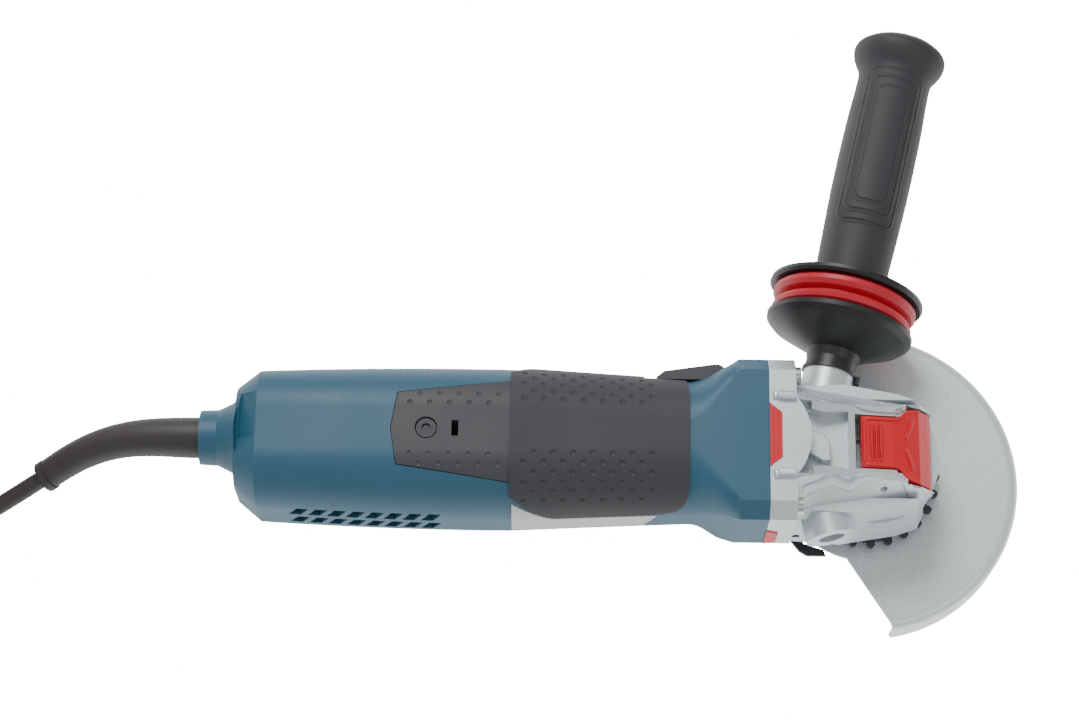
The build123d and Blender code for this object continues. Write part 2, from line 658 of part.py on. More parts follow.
def make_bearing_plate():
    plate = turned_z([(gear_radius + 2.0, head_low_z), (gear_radius + 2.0, head_low_z - 3),
                      (neck_radius, head_low_z - 3), (neck_radius, -35.6), (17.0, -35.6),
                      (17.0, -31.6), (14.8, -31.6), (14.8, -27.6), (17.5, -27.6), (17.5, -16.6),
                      (20.2, -16.6), (20.2, head_low_z)])
    ear = block(-36.6, -20, -20, 20, head_low_z - 3, head_low_z)
    ear += block(-36.6, -28, -29.6, -18, head_low_z - 3, head_low_z)
    plate += ear - post(gear_radius, -40, 0)
    screws = []
    for x, y in plate_screw_places():
        plate -= post(1.5, head_low_z - 4, head_low_z + 1, x, y)
        head = post(3.0, head_low_z - 5, head_low_z - 3, x, y)
        head -= post(1.3, head_low_z - 6, head_low_z - 4, x, y)
        screws.append(post(1.45, head_low_z - 3, head_low_z + 7.5, x, y) + head)
    parts["bearing_plate"] = plate
    parts["bearing_plate_screws"] = Compound(children=screws)
    race_in, race_out, balls = ball_bearing(7.5, 17.5, 11.0, 3.0, 9)
    place = Pos(0, 0, -27.6)
    parts["spindle_bearing_inner"] = place * race_in
    top_bush = post(9.5, bush_top_z - 4.2, bush_top_z) - post(5.05, -3, 8)
    parts["spindle_bearings"] = Compound(children=[top_bush, place * race_out] + [place * b for b in balls])
    parts["dust_seal"] = turned_z([(10.1, -31.7), (10.1, -35.4), (16.9, -35.4), (16.9, -31.7)])


# Guard

def rim_profile():
    r = guard_radius
    t = guard_plate
    bend = 5.0
    top = guard_top_z
    outer = [Line((30.0, top), (r - bend, top)),
             RadiusArc((r - bend, top), (r, top - bend), bend),
             Line((r, top - bend), (r, guard_low_z))]
    inner = [Line((r, guard_low_z), (r - t, guard_low_z)),
             Line((r - t, guard_low_z), (r - t, top - bend)),
             RadiusArc((r - t, top - bend), (r - bend, top - t), -(bend - t)),
             Line((r - bend, top - t), (30.0, top - t)),
             Line((30.0, top - t), (30.0, top))]
    return make_face(Plane.XZ * Wire(outer + inner))


def polar(radius, angle, z=0.0):
    return (radius * cos(radians(angle)), radius * sin(radians(angle)))


def make_guard():
    shell = revolve(rim_profile(), Axis.Z)
    start = guard_middle - 90
    end = guard_middle + 90
    # the closed side, with a straight edge running inwards from each end of the rim
    keep = [polar(110, start - 1)]
    for i in range(1, 12):
        keep.append(polar(110, start + 180 * i / 12))
    hub = guard_hub_radius
    keep += [polar(110, end + 1), polar(guard_radius - 0.5, end), polar(hub, end + guard_edge_turn),
             polar(hub, guard_middle + 180), polar(hub, start - guard_edge_turn),
             polar(guard_radius - 0.5, start)]
    shell = shell & (plan_prism(keep, -80, -20) + post(hub, -70, -20))
    shell -= post(30.0, -80, -20)
    collar = guard_collar_radius
    under_z = guard_top_z - guard_plate
    shell += turned_z([(collar, guard_top_z), (30.2, guard_top_z), (30.2, under_z), (collar, under_z)])
    bore = neck_radius + 0.08
    shell += turned_z([(bore, -27.4), (collar, -27.4), (collar, under_z), (bore, under_z)])
    parts["guard_shell"] = shell
    ring = turned_z([(collar, -29.6), (30.4, -29.6), (30.4, guard_top_z), (collar, guard_top_z)])
    for i in range(peg_count):
        angle = -86.5 + 360 / peg_count * i
        peg = block(29, 32.6, -1.7, 1.7, -33.4, -30.2) + post(1.7, -33.4, -30.2, 32.6, 0)
        ring += Rot(0, 0, angle) * peg
    parts["ratchet_ring"] = ring


def make_guard_lever():
    """A sprung lever under the right side of the head, just clear of the ring's pegs."""
    pivot = (-33.5, -26.0)
    outline = [(-36.5, -26), (-33, -23.4), (-27.4, -22.9), (-27.6, -25.6), (-30.2, -28), (-29.2, -33),
               (-20.0, -36.0), (-19.0, -38.6), (-27.5, -38.6), (-31.0, -36.6), (-35.5, -31)]
    arm = plan_prism(outline, -32.6, -30.2)
    arm += post(3.0, -32.6, -30.2, pivot[0], pivot[1])
    arm -= post(1.5, -40, -20, pivot[0], pivot[1])
    parts["guard_lever"] = arm
    guard_pin = post(1.45, -34.0, head_low_z - 3, *pivot) + post(2.8, -34.6, -33.0, *pivot)
    lever_pin = pin_y(1.5, lever_pivot[0], lever_pivot[1], -19.4, 19.4)
    parts["lever_pins"] = Compound(children=[guard_pin, lever_pin])


# Side handle

def turned_handle(points):
    """Turn (radius, distance along the handle axis) points and set them on the left axis."""
    outline = make_face(Plane.XZ * Polyline(*points, close=True))
    return handle_axis(1) * revolve(outline, Axis.Z)


def make_side_handle():
    e = handle_boss_end
    t = handle_thread
    s = e - thread_depth + 1
    parts["handle_stud"] = turned_handle([(0, s), (t, s), (t, e + 40), (4.0, e + 40), (4.0, e + 62),
                                          (0, e + 62)])
    parts["handle_cone"] = turned_handle([(t, e + 1.4), (11.6, e + 1.4), (11.6, e + 6.0), (12.6, e + 10.0),
                                          (31.0, e + 19.2), (33.6, e + 21.6), (33.8, e + 23.6),
                                          (32.0, e + 24.6), (t, e + 24.6)])
    washer = turned_handle([(t, e), (12.6, e), (12.6, e + 1.4), (t, e + 1.4)])
    washer += handle_axis(1) * (Pos(0, 13.1, e - 2.4) * Box(5.0, 2.2, 3.8, align=base))
    parts["handle_washer"] = washer
    y = e + 24.6
    parts["handle_bellows"] = turned_handle([(t, y), (30.0, y), (31.8, y + 1.2), (32.4, y + 2.8),
                                             (31.4, y + 4.6), (28.4, y + 5.6), (28.4, y + 6.2),
                                             (31.8, y + 7.4), (33.2, y + 9.4), (33.0, y + 11.4),
                                             (31.4, y + 13.0), (t, y + 13.0)])
    f = y + 13.0
    parts["handle_flange"] = turned_handle([(t, f), (34.6, f), (35.6, f + 1.2), (35.4, f + 2.8),
                                            (33.0, f + 4.0), (21.0, f + 6.8), (16.6, f + 8.0), (t, f + 8.0)])
    g = f + 8.0
    edge = Spline([(16.5, g), (17.1, g + 16), (18.0, g + 48), (17.9, g + 80), (17.2, g + 100),
                   (17.6, g + 107), (20.6, g + 113), (21.8, g + 116.5)], tangents=[(0, 1), (0.5, 1)])
    knob = [Line((0, g), (16.5, g)), edge, RadiusArc((21.8, g + 116.5), (15.0, g + 123.5), -6.8),
            Line((15.0, g + 123.5), (0, g + 124.5)), Line((0, g + 124.5), (0, g))]
    grip = handle_axis(1) * revolve(make_face(Plane.XZ * Wire(knob)), Axis.Z)
    grip -= turned_handle([(0, g - 1), (4.0, g - 1), (4.0, e + 62), (0, e + 62)])
    parts["handle_grip"] = grip


# Cord

def rest_location():
    """The rigid move from the tool frame to the floor frame."""
    left = Vector(*polar(guard_radius, guard_middle + 90), guard_low_z)
    right = Vector(*polar(guard_radius, guard_middle - 90), guard_low_z)
    back = Vector(*heel)
    up = (right - back).cross(left - back).normalized()
    forward = Vector(1, 0, 0) - up * up.X
    floor = Plane(origin=back, x_dir=forward, z_dir=up)
    return Pos(*floor_shift, 0) * floor.location.inverse()


def bend_radii(route):
    """A wide tangent arc for each corner, as the two runs beside it leave room for."""
    spots = [Vector(*p) for p in route]
    radii = []
    for before, here, after in zip(spots, spots[1:], spots[2:]):
        turn = (here - before).get_angle(after - here)
        shorter = min((here - before).length, (after - here).length)
        radii.append(0.45 * shorter / tan(radians(turn) / 2))
    return radii


def cord_tube(route):
    radii = bend_radii(route)
    path = FilletPolyline(*route, radius=radii)
    start = Plane(origin=path @ 0, z_dir=path % 0)
    return sweep(start * Circle(cord_radius), path=path)


def make_cable_sleeve():
    """Tapered bend relief: a straight root in the tail, then a bend down towards the floor."""
    spots = [Vector(*p) for p in sleeve_route]
    steps = [spots[0] - spots[1]] + [spots[max(i - 1, 0)] - spots[min(i + 1, 4)] for i in range(1, 5)]
    sections = []
    for spot, step, radius in zip(spots, steps, sleeve_radii):
        sections.append(Plane(origin=spot, z_dir=step.normalized() * -1) * Circle(radius))
    sleeve = loft(sections)
    end = Plane(origin=spots[-1], z_dir=(spots[-1] - spots[-2]).normalized())
    sleeve += end * Pos(0, 0, -3.2) * Cylinder(sleeve_radii[-1] + 0.5, 3.2, align=base)
    root = rest_location() * rod(sleeve_root_radius, sleeve_x - 4.0, -281.2, 0, cable_z)
    parts["cable_sleeve"] = sleeve + root


def make_cord():
    cx, cy = coil_centre
    ring = Pos(cx, cy, 0) * (Cylinder(coil_outer, coil_height, align=base)
                             - Cylinder(coil_inner, coil_height, align=base))
    width = coil_outer - coil_inner
    middle = (coil_outer + coil_inner) / 2
    tie = Pos(cx, cy + middle, 0) * Box(7, width + 2.4, coil_height + 1.2, align=base)
    tie -= Pos(cx, cy + middle, 1.2) * Box(8, width, coil_height - 1.2, align=base)
    ring -= tie
    tubes = [cord_tube(cord_route) - ring, cord_tube(tail_route) - ring]
    tubes[0] -= parts["cable_sleeve"]
    parts["cable_coil"] = ring
    parts["coil_tie"] = tie
    parts["cable_tube"] = Compound(children=[t.solids().sort_by(SortBy.VOLUME)[-1] for t in tubes])
    x, y, z = tail_route[-1]
    neck = Pos(x, y, z) * Rot(0, 90, 0) * Cone(5.2, 7.6, 17, align=base)
    body = Pos(x + 16, y, 0) * Box(26, 36, 2 * z, align=(Align.MIN, Align.CENTER, Align.MIN))
    body = fillet(body.edges(), 4.0)
    plug = neck + body
    for side in (-1, 1):
        plug += rod(plug_pin_radius, x + 41, x + 61, y + side * plug_pin_spacing / 2, z)
    parts["mains_plug"] = plug


def build_tool():
    make_rear_housing()
    make_service_cover()
    make_motor_housing()
    make_red_inserts()
    make_soft_grip()
    make_label_plate()
    make_cable_clamp()
    make_stator()
    make_armature()
    make_motor_bearings()
    make_brushes()
    make_electronics()
    make_switch()
    make_gear_flange()
    make_flange_key()
    make_gear_head()
    make_pinion()
    make_crown_gear()
    make_spindle()
    make_plunger()
    make_release_lever()
    make_bearing_plate()
    make_guard()
    make_guard_lever()
    make_side_handle()


build_tool()
rest = rest_location()
for name in list(parts):
    parts[name] = rest * parts[name]
make_cable_sleeve()
make_cord()
for name, shape in parts.items():
    piece = shape if isinstance(shape, Compound) else Compound(children=[shape])
    export_step(piece, "parts/" + name + ".step")
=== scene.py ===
import bpy
import bmesh
import json
from math import atan2, cos, hypot, pi, radians, sin
from mathutils import Matrix, Vector
from mathutils.bvhtree import BVHTree
from mathutils.interpolate import poly_3d_calc


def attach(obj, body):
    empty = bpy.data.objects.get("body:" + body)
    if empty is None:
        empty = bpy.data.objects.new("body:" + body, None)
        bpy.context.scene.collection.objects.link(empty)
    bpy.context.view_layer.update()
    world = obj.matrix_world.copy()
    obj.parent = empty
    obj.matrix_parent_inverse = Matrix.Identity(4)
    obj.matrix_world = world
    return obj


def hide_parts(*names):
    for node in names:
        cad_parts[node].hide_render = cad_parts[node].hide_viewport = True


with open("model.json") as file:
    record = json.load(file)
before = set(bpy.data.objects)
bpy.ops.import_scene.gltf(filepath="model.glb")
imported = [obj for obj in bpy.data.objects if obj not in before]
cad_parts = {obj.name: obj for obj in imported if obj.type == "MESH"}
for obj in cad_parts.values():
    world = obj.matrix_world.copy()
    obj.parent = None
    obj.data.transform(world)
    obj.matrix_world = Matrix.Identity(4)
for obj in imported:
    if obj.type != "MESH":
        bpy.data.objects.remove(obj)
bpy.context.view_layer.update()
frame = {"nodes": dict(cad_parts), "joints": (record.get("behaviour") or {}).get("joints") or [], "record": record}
nodes = frame["nodes"]
scene = bpy.context.scene
joints = {j["name"]: j for j in frame["joints"]}
print("frame loaded:", len(nodes), "nodes")


# The tool's own axes: x to the nose along the motor, z up the spindle, origin where they cross
def toolFrame():
    forward = Vector(joints["armature_spin"]["axis"]).normalized()
    up = Vector(joints["spindle_spin"]["axis"]).normalized()
    left = up.cross(forward)
    place = Matrix((forward, left, up)).transposed().to_4x4()
    place.translation = Vector(joints["armature_spin"]["pos_m"])
    return place


tool = toolFrame()
mm = 0.001
castHeight = 60   # where points start before they are cast down on the tool, well clear of it


def inTool(x, y, z):
    return tool @ Vector((x * mm, y * mm, z * mm))


# Camera
cameraSettings = dict(place=(-0.1276, -0.43925, 1.1806), back=(-0.0742, -0.3412, 0.9371),
                      right=(0.9963, 0.0160, 0.0847), focal=88.7, sensor=36)


def makeCamera(c):
    data = bpy.data.cameras.new("camera")
    camera = bpy.data.objects.new("camera", data)
    scene.collection.objects.link(camera)
    back = Vector(c["back"]).normalized()
    right = (Vector(c["right"]) - back * back.dot(Vector(c["right"]))).normalized()
    turn = Matrix((right, back.cross(right), back)).transposed().to_4x4()
    turn.translation = Vector(c["place"])
    camera.matrix_world = turn
    data.lens = c["focal"]
    data.sensor_width = c["sensor"]
    data.clip_start = 0.01
    data.clip_end = 50
    scene.camera = camera


makeCamera(cameraSettings)
print("camera placed")


def newObject(name, data):
    piece = bpy.data.objects.new(name, data)
    scene.collection.objects.link(piece)
    return piece


def meshPiece(name, points, faces, smooth=True):
    mesh = bpy.data.meshes.new(name)
    mesh.from_pydata(points, [], faces)
    shape = bmesh.new()
    shape.from_mesh(mesh)
    bmesh.ops.remove_doubles(shape, verts=shape.verts, dist=1e-6)
    bmesh.ops.recalc_face_normals(shape, faces=shape.faces)
    shape.to_mesh(mesh)
    shape.free()
    for face in mesh.polygons:
        face.use_smooth = smooth
    return newObject(name, mesh)


def takeMesh(piece):
    bpy.context.view_layer.update()
    mesh = bpy.data.meshes.new_from_object(piece.evaluated_get(bpy.context.evaluated_depsgraph_get()))
    piece.modifiers.clear()
    return mesh


# Shader groups, which put out only colours, values and normals
def newGroup(name, inputs, outputs):
    group = bpy.data.node_groups.new(name, "ShaderNodeTree")
    for title, kind, value in inputs:
        socket = group.interface.new_socket(title, in_out="INPUT", socket_type=kind)
        if value is not None:
            socket.default_value = value
    for title, kind in outputs:
        group.interface.new_socket(title, in_out="OUTPUT", socket_type=kind)
    return group, group.nodes.new("NodeGroupInput"), group.nodes.new("NodeGroupOutput")


def addNode(tree, kind, **values):
    node = tree.nodes.new(kind)
    for name, value in values.items():
        setattr(node, name, value)
    return node


def makeGrain():
    group, given, made = newGroup("mouldGrain",
        [("Scale", "NodeSocketFloat", 900.0), ("Strength", "NodeSocketFloat", 0.2),
         ("Depth", "NodeSocketFloat", 0.0001), ("Roughness", "NodeSocketFloat", 0.5),
         ("Variation", "NodeSocketFloat", 0.08)],
        [("Normal", "NodeSocketVector"), ("Roughness", "NodeSocketFloat"), ("Mask", "NodeSocketFloat")])
    link = group.links.new
    where = addNode(group, "ShaderNodeTexCoord")
    fine = addNode(group, "ShaderNodeTexNoise")
    fine.inputs["Detail"].default_value = 3.0
    broad = addNode(group, "ShaderNodeTexNoise")
    broad.inputs["Scale"].default_value = 28.0
    broad.inputs["Detail"].default_value = 4.0
    bump = addNode(group, "ShaderNodeBump")
    spread = addNode(group, "ShaderNodeMath", operation="SUBTRACT")
    spread.inputs[1].default_value = 0.5
    amount = addNode(group, "ShaderNodeMath", operation="MULTIPLY")
    total = addNode(group, "ShaderNodeMath", operation="ADD")
    link(where.outputs["Object"], fine.inputs["Vector"])
    link(where.outputs["Object"], broad.inputs["Vector"])
    link(given.outputs["Scale"], fine.inputs["Scale"])
    link(fine.outputs["Fac"], bump.inputs["Height"])
    link(given.outputs["Strength"], bump.inputs["Strength"])
    link(given.outputs["Depth"], bump.inputs["Distance"])
    link(broad.outputs["Fac"], spread.inputs[0])
    link(spread.outputs[0], amount.inputs[0])
    link(given.outputs["Variation"], amount.inputs[1])
    link(amount.outputs[0], total.inputs[0])
    link(given.outputs["Roughness"], total.inputs[1])
    link(bump.outputs["Normal"], made.inputs["Normal"])
    link(total.outputs[0], made.inputs["Roughness"])
    link(broad.outputs["Fac"], made.inputs["Mask"])
    return group


# Random fine flakes in the lacquer, each lightened towards the Glint colour: the flakes are a real speckle, their
# bright glint is painted light
def makeFlakeAndPaintedGlint():
    group, given, made = newGroup("flakeAndPaintedGlint",
        [("Colour", "NodeSocketColor", (0.5, 0.5, 0.5, 1)), ("Glint", "NodeSocketColor", (0.9, 0.9, 0.9, 1)),
         ("Scale", "NodeSocketFloat", 2200.0), ("Amount", "NodeSocketFloat", 0.4)],
        [("Colour", "NodeSocketColor"), ("Mask", "NodeSocketFloat")])
    link = group.links.new
    where = addNode(group, "ShaderNodeTexCoord")
    cells = addNode(group, "ShaderNodeTexVoronoi")
    split = addNode(group, "ShaderNodeSeparateColor")
    narrow = addNode(group, "ShaderNodeMath", operation="POWER")
    narrow.inputs[1].default_value = 3.0
    amount = addNode(group, "ShaderNodeMath", operation="MULTIPLY")
    mix = addNode(group, "ShaderNodeMix", data_type="RGBA")
    link(where.outputs["Object"], cells.inputs["Vector"])
    link(given.outputs["Scale"], cells.inputs["Scale"])
    link(cells.outputs["Color"], split.inputs["Color"])
    link(split.outputs["Red"], narrow.inputs[0])
    link(narrow.outputs[0], amount.inputs[0])
    link(given.outputs["Amount"], amount.inputs[1])
    link(amount.outputs[0], mix.inputs["Factor"])
    link(given.outputs["Colour"], mix.inputs["A"])
    link(given.outputs["Glint"], mix.inputs["B"])
    link(mix.outputs["Result"], made.inputs["Colour"])
    link(amount.outputs[0], made.inputs["Mask"])
    return group


mouldGrain = makeGrain()
flakeAndPaintedGlint = makeFlakeAndPaintedGlint()

# grain is the scale of the fine texture, bump its strength, shade how far colour and gloss drift, flake how much of
# the surface is lightened by painted glints on the flakes, glint the colour of that painted glint
finishes = {
    "blue_housing": dict(colour=(0.020, 0.098, 0.160), rough=0.50, grain=1500, bump=0.30, shade=0.10),
    "grey_rubber": dict(colour=(0.040, 0.041, 0.047), rough=0.66, grain=1900, bump=0.35, shade=0.14),
    "grey_plastic": dict(colour=(0.046, 0.047, 0.053), rough=0.55, grain=1500, bump=0.30, shade=0.10),
    "silver_casting": dict(colour=(0.60, 0.66, 0.68), rough=0.40, metal=0.55, grain=1300, bump=0.25, shade=0.05,
                           flakeWithPaintedGlint=0.30, glint=(0.85, 0.88, 0.90)),
    "guard_silver": dict(colour=(0.70, 0.77, 0.79), rough=0.40, metal=0.45, grain=1100, bump=0.25, shade=0.05,
                         flakeWithPaintedGlint=0.75, glint=(0.98, 1.0, 1.0)),
    "red_plastic": dict(colour=(0.66, 0.008, 0.016), rough=0.42, grain=900, bump=0.10, shade=0.05),
    "red_rubber": dict(colour=(0.52, 0.012, 0.028), rough=0.45, grain=900, bump=0.15, shade=0.08),
    "black_plastic": dict(colour=(0.012, 0.012, 0.013), rough=0.42, grain=1200, bump=0.20, shade=0.10),
    "handle_rubber": dict(colour=(0.028, 0.030, 0.034), rough=0.60, grain=1600, bump=0.35, shade=0.12),
    "label_film": dict(colour=(0.50, 0.51, 0.51), rough=0.35, grain=300, bump=0.03, shade=0.03),
    "zinc_steel": dict(colour=(0.58, 0.58, 0.56), rough=0.30, metal=1.0, grain=1500, bump=0.08, shade=0.05),
    "ground_steel": dict(colour=(0.48, 0.49, 0.51), rough=0.26, metal=1.0, grain=1800, bump=0.08, shade=0.05),
    "dark_steel": dict(colour=(0.035, 0.035, 0.04), rough=0.38, metal=0.6, grain=1500, bump=0.12, shade=0.08),
    "bearing_steel": dict(colour=(0.62, 0.63, 0.64), rough=0.16, metal=1.0, grain=1500, bump=0.03, shade=0.02),
    "lamination_steel": dict(colour=(0.24, 0.25, 0.27), rough=0.45, metal=0.9, grain=1400, bump=0.20, shade=0.10),
    "copper_wire": dict(colour=(0.55, 0.20, 0.08), rough=0.34, metal=0.9, grain=1600, bump=0.25, shade=0.10),
    "carbon": dict(colour=(0.020, 0.020, 0.022), rough=0.50, grain=2200, bump=0.25, shade=0.10),
    "seal_rubber": dict(colour=(0.012, 0.012, 0.013), rough=0.60, grain=1200, bump=0.20, shade=0.10),
    "cable_rubber": dict(colour=(0.036, 0.032, 0.030), rough=0.55, grain=1400, bump=0.22, shade=0.12),
    "circuit_resin": dict(colour=(0.020, 0.030, 0.028), rough=0.50, grain=900, bump=0.20, shade=0.10),
}


def makeFinish(name, f):
    material = bpy.data.materials.new(name)
    material.use_nodes = True
    tree = material.node_tree
    shader = tree.nodes["Principled BSDF"]
    grain = addNode(tree, "ShaderNodeGroup", node_tree=mouldGrain)
    grain.inputs["Scale"].default_value = f["grain"]
    grain.inputs["Strength"].default_value = f["bump"]
    grain.inputs["Roughness"].default_value = f["rough"]
    grain.inputs["Variation"].default_value = f["shade"] * 2
    tone = addNode(tree, "ShaderNodeMix", data_type="RGBA")
    tone.inputs["A"].default_value = tuple(c * (1 - f["shade"]) for c in f["colour"]) + (1,)
    tone.inputs["B"].default_value = tuple(min(c * (1 + f["shade"]), 1) for c in f["colour"]) + (1,)
    tree.links.new(grain.outputs["Mask"], tone.inputs["Factor"])
    last = tone.outputs["Result"]
    # painted glints: random flakes lightened towards the glint colour
    if f.get("flakeWithPaintedGlint"):
        flakeWithPaintedGlint = addNode(tree, "ShaderNodeGroup", node_tree=flakeAndPaintedGlint)
        flakeWithPaintedGlint.inputs["Glint"].default_value = (*f["glint"], 1)
        flakeWithPaintedGlint.inputs["Amount"].default_value = f["flakeWithPaintedGlint"]
        tree.links.new(last, flakeWithPaintedGlint.inputs["Colour"])
        last = flakeWithPaintedGlint.outputs["Colour"]
    tree.links.new(last, shader.inputs["Base Color"])
    tree.links.new(grain.outputs["Normal"], shader.inputs["Normal"])
    tree.links.new(grain.outputs["Roughness"], shader.inputs["Roughness"])
    shader.inputs["Metallic"].default_value = f.get("metal", 0.0)
    material.diffuse_color = (*f["colour"], 1)
    return material


materials = {name: makeFinish(name, f) for name, f in finishes.items()}
slotOf = {s["node"]: s["material_slot"] for s in frame["record"]["subparts"]}
for name, piece in nodes.items():
    piece.data.materials.clear()
    piece.data.materials.append(materials[slotOf[name]])
print("finishes given:", len(materials))

# Cord
cordSettings = dict(radius=4.1, turnPoints=20, centre=(-354.8, -72.45), columns=(57.2, 49.0, 40.8),
                    layers=(4.2, 12.4, 20.6, 28.8), startAngle=-58.75, turns=11.34,
                    easing=0.22)   # the part of a turn over which the cord crosses to its next place
cordRoute = [(-259.1, -82.85, 18.0), (-271.1, -89.35, 11.4), (-283.1, -96.35, 6.8), (-297.1, -104.35, 4.5),
             (-311.3, -112.45, 4.2)]
tailRoute = [(-412.2, -45.45, 26.4), (-409.5, -20.45, 17.5), (-399.0, 1.55, 10.8), (-381.0, 16.35, 9.0),
             (-359.1, 20.05, 9.0)]


def coilPoints(c):
    places = []
    for layer, height in enumerate(c["layers"]):
        row = c["columns"] if layer % 2 == 0 else c["columns"][::-1]
        places += [(reach, height) for reach in row]
    steps = round(c["turns"] * c["turnPoints"])
    easing = c["easing"]
    points = []
    for i in range(steps + 1):
        along = i / steps * len(places)
        here = min(int(along), len(places) - 1)
        part = along - here
        blend = max(0.0, (part - 1 + easing) / easing)
        blend = blend * blend * (3 - 2 * blend)
        after = min(here + 1, len(places) - 1)
        reach = places[here][0] * (1 - blend) + places[after][0] * blend
        height = places[here][1] * (1 - blend) + places[after][1] * blend
        angle = radians(c["startAngle"] - 360 * c["turns"] * i / steps)
        wide = reach / cos(pi / c["turnPoints"]) ** 0.5
        points.append((c["centre"][0] + wide * cos(angle), c["centre"][1] + wide * sin(angle), height))
    return points


def makeCord(c):
    route = cordRoute + coilPoints(c) + tailRoute
    curve = bpy.data.curves.new("cord", "CURVE")
    curve.dimensions = "3D"
    spline = curve.splines.new("NURBS")
    spline.points.add(len(route) - 1)
    for point, spot in zip(spline.points, route):
        point.co = (spot[0] * mm, spot[1] * mm, spot[2] * mm, 1)
    spline.order_u = 3
    spline.use_endpoint_u = True
    curve.bevel_depth = c["radius"] * mm
    curve.bevel_resolution = 4
    curve.resolution_u = 4
    curve.use_fill_caps = True
    cord = newObject("cord", curve)
    curve.materials.append(materials["cable_rubber"])
    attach(cord, "body")
    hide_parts("cable_tube", "cable_coil")


makeCord(cordSettings)
print("cord laid")

# Side handle grip: a turned form with raised nested panels and fine slanted ribs
gripSettings = dict(crossX=-28.2, lean=13.0, start=85.1, around=240, along=300, panelLow=24.0, panelHigh=105.0,
                    halfWidths=(14.2, 11.2, 8.0), insets=(0.0, 5.0, 10.0), corner=5.0, step=0.60, stepWidth=0.8,
                    groove=0.85, grooveWidth=0.55, groovePlace=0.9, ribPitch=1.7, rib=0.16, ribMargins=(1.6, -0.6))
# (distance along the handle, radius)
gripProfile = [(0, 16.5), (16, 17.1), (48, 18.0), (80, 17.9), (100, 17.2), (107, 17.6), (113, 20.6), (116.5, 21.7),
               (119.5, 21.3), (122.0, 18.6), (123.5, 15.0), (124.3, 4.4)]


def smoothProfile(spots, s):
    for i in range(len(spots) - 1):
        if s <= spots[i + 1][0] or i == len(spots) - 2:
            (x0, y0), (x1, y1) = spots[i], spots[i + 1]
            before = spots[max(i - 1, 0)]
            after = spots[min(i + 2, len(spots) - 1)]
            width = x1 - x0
            m0 = (y1 - before[1]) / (x1 - before[0]) * width if i else (y1 - y0)
            m1 = (after[1] - y0) / (after[0] - x0) * width
            t = min(max((s - x0) / width, 0), 1)
            return ((2 * t ** 3 - 3 * t ** 2 + 1) * y0 + (t ** 3 - 2 * t ** 2 + t) * m0
                    + (3 * t ** 2 - 2 * t ** 3) * y1 + (t ** 3 - t ** 2) * m1)


def ramp(value, width):
    t = min(max(value / width * 0.5 + 0.5, 0), 1)
    return t * t * (3 - 2 * t)


# Height of the nested panels at s along the handle and w round it, both in millimetres
def panelRelief(s, w, c):
    middle = (c["panelLow"] + c["panelHigh"]) / 2
    corner = c["corner"]
    relief = 0.0
    depths = []
    for half, inset in zip(c["halfWidths"], c["insets"]):
        long = (c["panelHigh"] - c["panelLow"]) / 2 - inset
        dx = abs(w) - (half - corner)
        dy = abs(s - middle) - (long - corner)
        outside = hypot(max(dx, 0), max(dy, 0)) + min(max(dx, dy), 0) - corner
        depths.append(-outside)
        relief += c["step"] * ramp(-outside, c["stepWidth"])
        relief -= c["groove"] * max(0.0, 1 - abs(outside + c["groovePlace"]) / c["grooveWidth"])
    if depths[0] > c["ribMargins"][0] and depths[2] < c["ribMargins"][1]:
        relief += c["rib"] * (0.5 + 0.5 * cos(2 * pi * (s + w) / c["ribPitch"]))
    return relief


def makeGrip(c):
    lean = radians(c["lean"])
    axis = Vector((sin(lean), cos(lean), 0))
    side = Vector((cos(lean), -sin(lean), 0))
    high = Vector((0, 0, 1))
    origin = Vector((c["crossX"], 0, 0)) + axis * c["start"]
    length = gripProfile[-1][0]
    points, faces = [], []
    for i in range(c["along"] + 1):
        s = length * i / c["along"]
        radius = smoothProfile(gripProfile, s)
        for j in range(c["around"]):
            angle = 2 * pi * j / c["around"]
            w = atan2(sin(angle), cos(angle))
            hand = 1 if w >= 0 else -1
            relief = panelRelief(s, radius * w, c)
            if abs(w) > pi / 2:
                relief += panelRelief(s, radius * (pi - abs(w)) * hand, c)
            r = radius + relief
            p = origin + axis * s + high * (r * cos(angle)) + side * (r * sin(angle))
            points.append(tool @ (p * mm))
    n = c["around"]
    for i in range(c["along"]):
        for j in range(n):
            k = (j + 1) % n
            faces.append((i * n + j, i * n + k, (i + 1) * n + k, (i + 1) * n + j))
    faces.append(tuple(range(n)))
    faces.append(tuple(c["along"] * n + j for j in range(n)))
    grip = meshPiece("handleGrip", points, faces)
    grip.data.materials.append(materials["handle_rubber"])
    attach(grip, "body")
    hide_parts("handle_grip")


makeGrip(gripSettings)
print("handle grip made")


